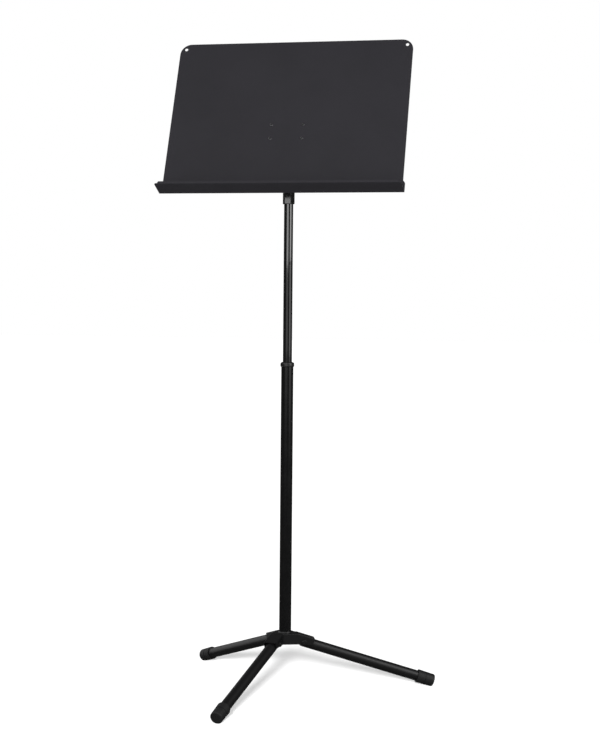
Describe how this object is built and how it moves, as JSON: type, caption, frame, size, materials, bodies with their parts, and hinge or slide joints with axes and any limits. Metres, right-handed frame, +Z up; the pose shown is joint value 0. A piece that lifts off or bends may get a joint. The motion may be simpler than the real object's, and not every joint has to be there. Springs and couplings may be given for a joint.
{
  "type": "music stand",
  "caption": "Orchestra music stand: tilting sheet-metal desk with a ledge on a telescoping post, over a folding three-leg base with rubber feet.",
  "frame": {"origin": "middle of the stand's footprint, on the floor", "axes": "+Z up; the music desk faces -Y and its width runs along X"},
  "size_m": [0.5612, 0.5367, 1.3606],
  "materials": {
    "desk_paint": "matte powder coat",
    "bracket_paint": "satin powder coat",
    "neck_paint": "satin paint on a zinc casting",
    "tube_gloss": "gloss black",
    "tube_satin": "satin black",
    "base_paint": "satin black",
    "fastener_black": "black",
    "fastener_steel": "zinc plated",
    "plastic_black": "moulded",
    "rubber_black": "matte"
  },
  "bodies": {
    "base": {"hub": "base_paint", "hub_bolt": "fastener_steel", "hub_washer": "fastener_steel", "leg_pin_1": "fastener_black", "leg_pin_2": "fastener_black", "leg_pin_3": "fastener_black", "outer_tube": "tube_satin", "outer_tube_plug": "fastener_steel", "collar_bush": "plastic_black"},
    "clutch": {"clutch_core": "plastic_black", "clutch_shoe_front": "plastic_black", "clutch_shoe_back": "plastic_black", "clutch_spring": "fastener_steel"},
    "post": {"inner_tube": "tube_gloss", "inner_tube_plug": "plastic_black", "clutch_stem": "fastener_steel", "clutch_stem_washer": "fastener_steel", "neck": "neck_paint", "neck_pin": "fastener_steel"},
    "desk": {"desk": "desk_paint", "ledge": "desk_paint", "desk_rivets": "fastener_black", "tilt_bracket": "bracket_paint", "tilt_bolt": "fastener_steel", "tilt_nut": "fastener_steel", "tilt_plain_washer": "fastener_steel", "tilt_spring_washer": "fastener_steel", "friction_washer_left": "plastic_black", "friction_washer_right": "plastic_black"},
    "leg_1": {"leg_tube_1": "base_paint", "leg_plug_1": "plastic_black", "foot_cap_1": "rubber_black"},
    "leg_2": {"leg_tube_2": "base_paint", "leg_plug_2": "plastic_black", "foot_cap_2": "rubber_black"},
    "leg_3": {"leg_tube_3": "base_paint", "leg_plug_3": "plastic_black", "foot_cap_3": "rubber_black"}
  },
  "joints": [
    {"name": "height_slide", "type": "slide", "parent": "base", "child": "clutch", "axis": [0, 0, 1], "range_m": [-0.325, 0.12]},
    {"name": "post_swivel", "type": "hinge", "parent": "clutch", "child": "post", "pos_m": [-0.0266, 0.0453, 0.5], "axis": [0, 0, 1], "continuous": true},
    {"name": "desk_tilt", "type": "hinge", "parent": "post", "child": "desk", "pos_m": [-0.0266, 0.0453, 1.1485], "axis": [-1, 0, 0], "range_deg": [-27, 66]},
    {"name": "leg_fold_1", "type": "hinge", "parent": "base", "child": "leg_1", "pos_m": [0.01202, 0.04989, 0.10064], "axis": [-0.3272, 0.9449, 0], "range_deg": [0, 72]},
    {"name": "leg_fold_2", "type": "hinge", "parent": "base", "child": "leg_2", "pos_m": [-0.04989, 0.07645, 0.10064], "axis": [-0.6547, -0.7559, 0], "range_deg": [0, 72]},
    {"name": "leg_fold_3", "type": "hinge", "parent": "base", "child": "leg_3", "pos_m": [-0.04194, 0.00955, 0.10064], "axis": [0.982, -0.1891, 0], "range_deg": [0, 72]}
  ]
}
